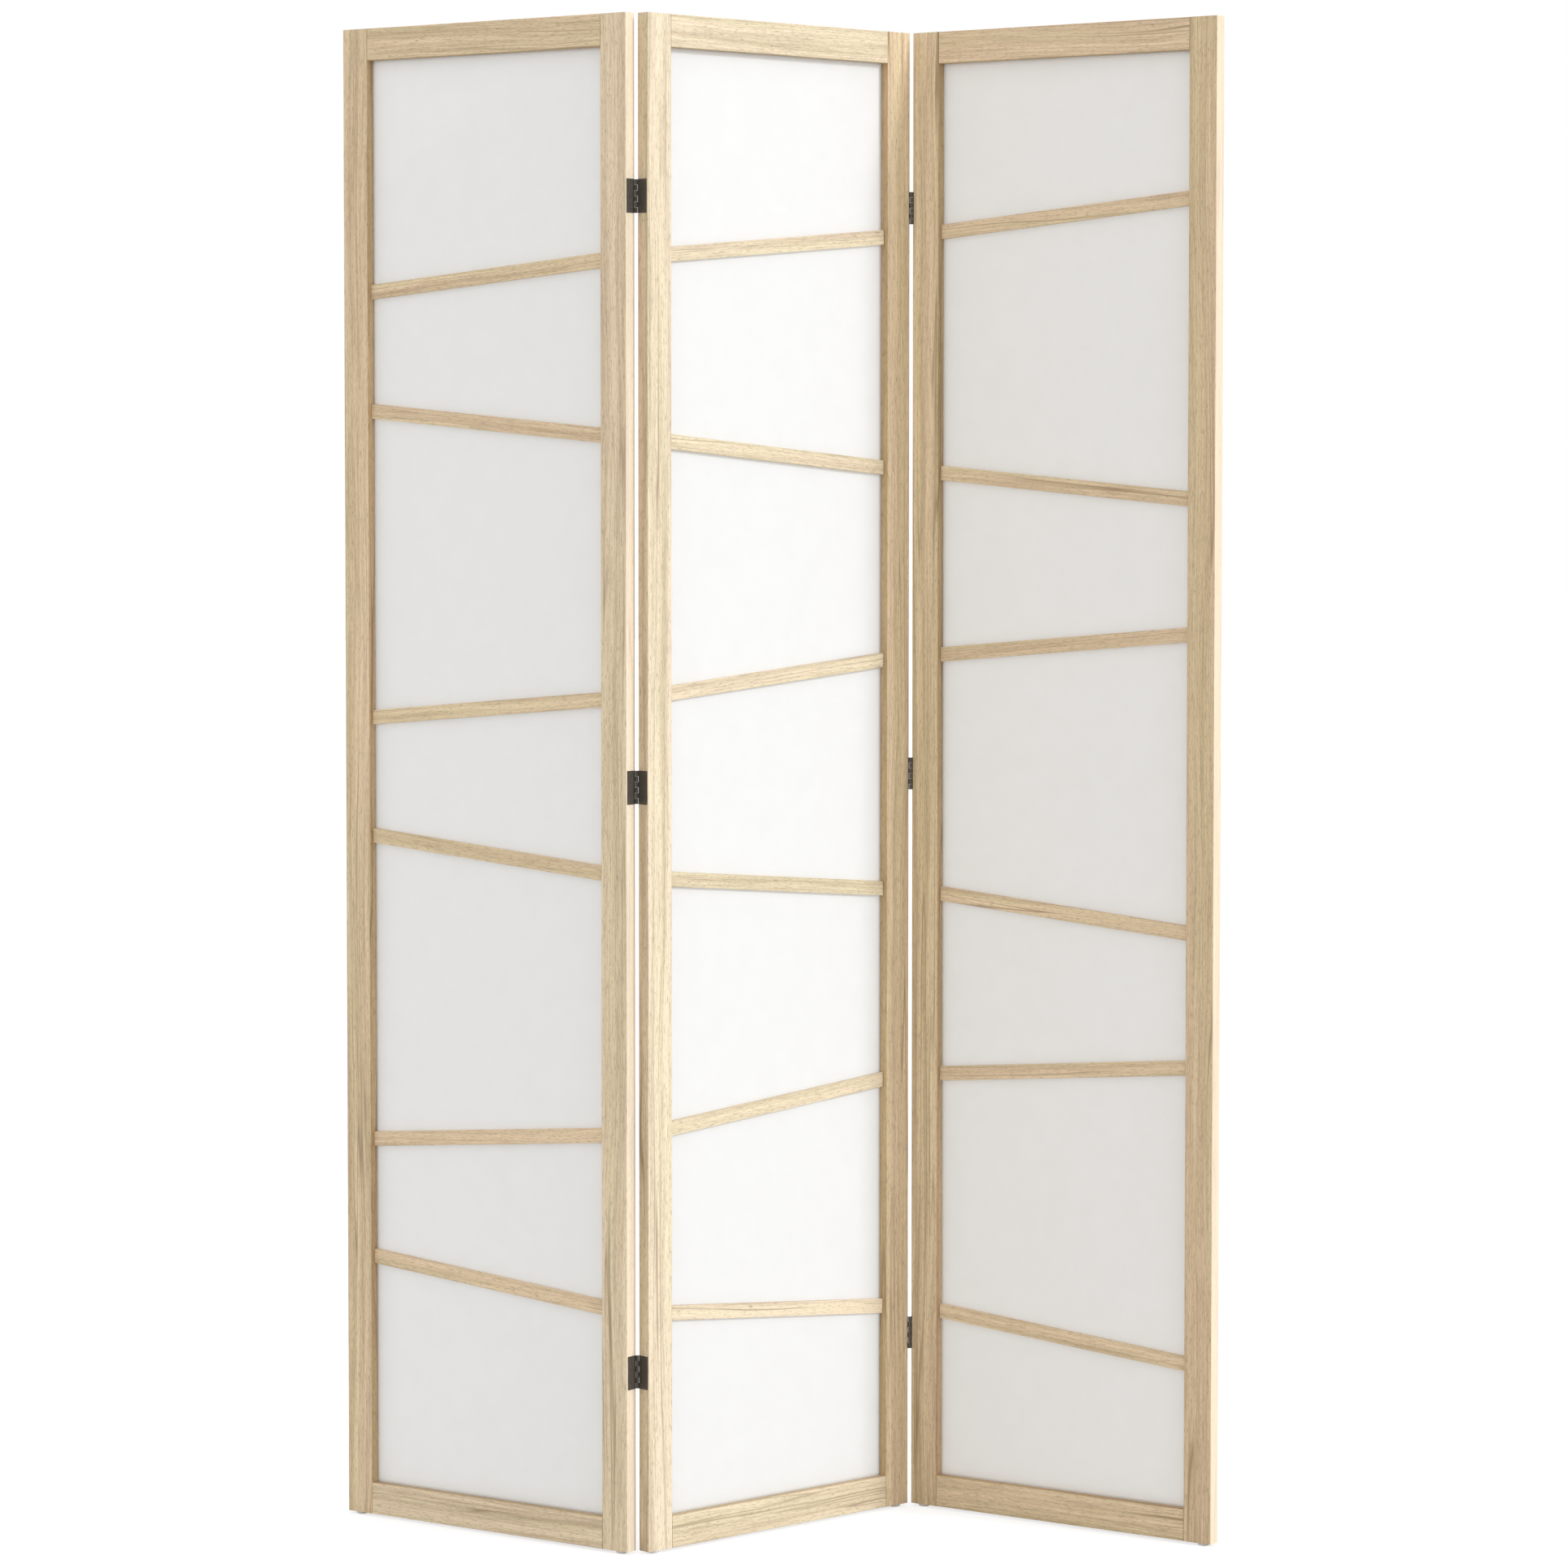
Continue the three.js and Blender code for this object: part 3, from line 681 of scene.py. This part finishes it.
def slot_cutter(work, turn):
    """A wedge that cuts one of the two crossed slots from the head."""
    spin = Matrix.Rotation(turn, 3, "Z")
    half = SLOT_WIDTH / 2
    corners = []
    for height, share in zip((SLOT_DEPTH, -SLOT_DEPTH), SLOT_SHARES):
        reach = SLOT_REACH * share
        for x, y in ((-reach, -half), (reach, -half), (reach, half), (-reach, half)):
            corners.append(work.verts.new(spin @ Vector((x, y, height))))
    top, base = corners[:4], corners[4:]
    work.faces.new(top)
    work.faces.new(base[::-1])
    for i in range(4):
        work.faces.new((top[i - 1], base[i - 1], base[i], top[i]))


def screw_mesh(material):
    """The mesh that all screws share: the turned body, with two crossed slots cut in."""
    body = new_piece("screw_pattern", screw_body, material)
    cutters = []
    for turn in (0, math.pi / 2):
        cutter = new_piece("slot_cutter", partial(slot_cutter, turn=turn), material)
        cutters.append(cutter)
        cut = body.modifiers.new("slot", "BOOLEAN")
        cut.operation = "DIFFERENCE"
        cut.solver = "EXACT"
        cut.object = cutter
    graph = bpy.context.evaluated_depsgraph_get()
    mesh = bpy.data.meshes.new_from_object(body.evaluated_get(graph))
    mesh.name = "screw"
    for obj in (body, *cutters):
        bpy.data.objects.remove(obj)
    return mesh


def place_screws(mesh):
    """Two screws in each leaf, sunk just below its face, each turned its own way."""
    for seam, (left, right, run) in SEAMS.items():
        for level in LEVELS:
            hinge = f"{seam}_{level}_hinge"
            low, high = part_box(f"{hinge}_pin")
            axis = (low + high) / 2
            for panel, leaf, way in ((left, "left_leaf", -1), (right, "right_leaf", 1)):
                side, depth = panel_axes(panel)
                middle = depth * run * (LEAF_START + LEAF_WIDTH / 2)
                face = axis + side * way * (EDGE_GAP + SCREW_SINK) + middle
                for place, step in (("upper", 1), ("lower", -1)):
                    name = f"{hinge}_{leaf}_{place}_screw"
                    spin = Matrix.Rotation(random.Random(name).uniform(0, math.pi), 4, "Z")
                    lie = (-side * way).to_track_quat("Z", "Y").to_matrix().to_4x4()
                    height = Vector((0, 0, step * SCREW_SPACING / 2))
                    obj = bpy.data.objects.new(name, mesh)
                    bpy.context.scene.collection.objects.link(obj)
                    obj.matrix_world = Matrix.Translation(face + height) @ lie @ spin
                    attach(obj, panel)


# ---- Stage ------------------------------------------------------------------------------------

FLOOR_SIZE = 60
FLOOR_COLOUR = (0.62, 0.62, 0.62, 1)
FLOOR_SHOWN = (0.35, 0.35, 0.35, 1)
FLOOR_LIFT = 0.72


def seen_directly(tree):
    """1 for what the camera sees, also in a mirror or through glass, and 0 for what lights."""
    path = node(tree, "ShaderNodeLightPath").outputs
    seen = calc(tree, "MAXIMUM", path["Is Camera Ray"], path["Is Glossy Ray"])
    return calc(tree, "MAXIMUM", seen, path["Is Transmission Ray"])


def build_floor():
    """A pale floor that looks white and still shows the shadow."""
    def build(work):
        bmesh.ops.create_grid(work, x_segments=1, y_segments=1, size=FLOOR_SIZE / 2)

    made = bpy.data.materials.new("floor")
    made.use_nodes = True
    tree = made.node_tree
    tree.nodes.clear()
    plain = node(tree, "ShaderNodeBsdfDiffuse", {"Color": FLOOR_COLOUR}).outputs[0]
    shown = node(tree, "ShaderNodeBsdfDiffuse", {"Color": FLOOR_SHOWN}).outputs[0]
    lift = node(tree, "ShaderNodeEmission", {"Strength": FLOOR_LIFT}).outputs[0]
    lifted = node(tree, "ShaderNodeAddShader", {0: shown, 1: lift}).outputs[0]
    both = node(tree, "ShaderNodeMixShader", {0: seen_directly(tree), 1: plain, 2: lifted})
    node(tree, "ShaderNodeOutputMaterial", {"Surface": both.outputs[0]})
    new_piece("floor", build, made)


def build_world():
    """Even white light, and pure white where the camera sees it."""
    world = bpy.data.worlds.new("studio")
    bpy.context.scene.world = world
    world.use_nodes = True
    tree = world.node_tree
    tree.nodes.clear()
    sky = node(tree, "ShaderNodeBackground", {"Color": (1, 1, 1, 1), "Strength": SKY_STRENGTH})
    white = node(tree, "ShaderNodeBackground", {"Color": (1, 1, 1, 1), "Strength": 1})
    inputs = {0: seen_directly(tree), 1: sky.outputs[0], 2: white.outputs[0]}
    both = node(tree, "ShaderNodeMixShader", inputs)
    node(tree, "ShaderNodeOutputWorld", {"Surface": both.outputs[0]})


def build_key():
    """The sun, low and from the right, that makes the middle panel the brightest."""
    lamp = bpy.data.lights.new("key", "SUN")
    lamp.energy = KEY_STRENGTH
    lamp.color = KEY_COLOUR
    lamp.angle = KEY_SPREAD
    obj = bpy.data.objects.new("key", lamp)
    obj.rotation_euler = Euler((math.pi / 2 - KEY_HEIGHT, 0, KEY_AZIMUTH))
    bpy.context.scene.collection.objects.link(obj)


def build_camera():
    """The photograph's view, tipped down a little so that other views keep the screen's top."""
    lens = bpy.data.cameras.new("camera")
    lens.lens = CAMERA_LENS
    lens.sensor_width = SENSOR_WIDTH
    lens.sensor_fit = "AUTO"
    lens.shift_x, lens.shift_y = CAMERA_SHIFT
    lens.clip_end = CLIP_END
    obj = bpy.data.objects.new("camera", lens)
    obj.location = CAMERA_PLACE
    obj.rotation_euler = Euler((math.pi / 2 - CAMERA_PITCH, 0, -CAMERA_YAW))
    bpy.context.scene.collection.objects.link(obj)
    bpy.context.scene.camera = obj


# ---- Everything -------------------------------------------------------------------------------

smooth_group = smoothing()
oak_tree = oak_group()
steel_look, nylon_look = steel(), nylon()

for panel in PANEL_TURNS:
    dress_wood(panel)
    paper_sheet(panel, paper(panel))
    for side in ("left", "right"):
        soften(dress(f"{panel}_{side}_foot", nylon_look), FOOT_BEVEL)

for seam in SEAMS:
    for level in LEVELS:
        for piece in ("left_leaf", "right_leaf", "pin"):
            soften(dress(f"{seam}_{level}_hinge_{piece}", steel_look), METAL_BEVEL)
place_screws(screw_mesh(steel_look))

build_floor()
build_world()
build_key()
build_camera()
bpy.context.scene.view_settings.view_transform = "Standard"
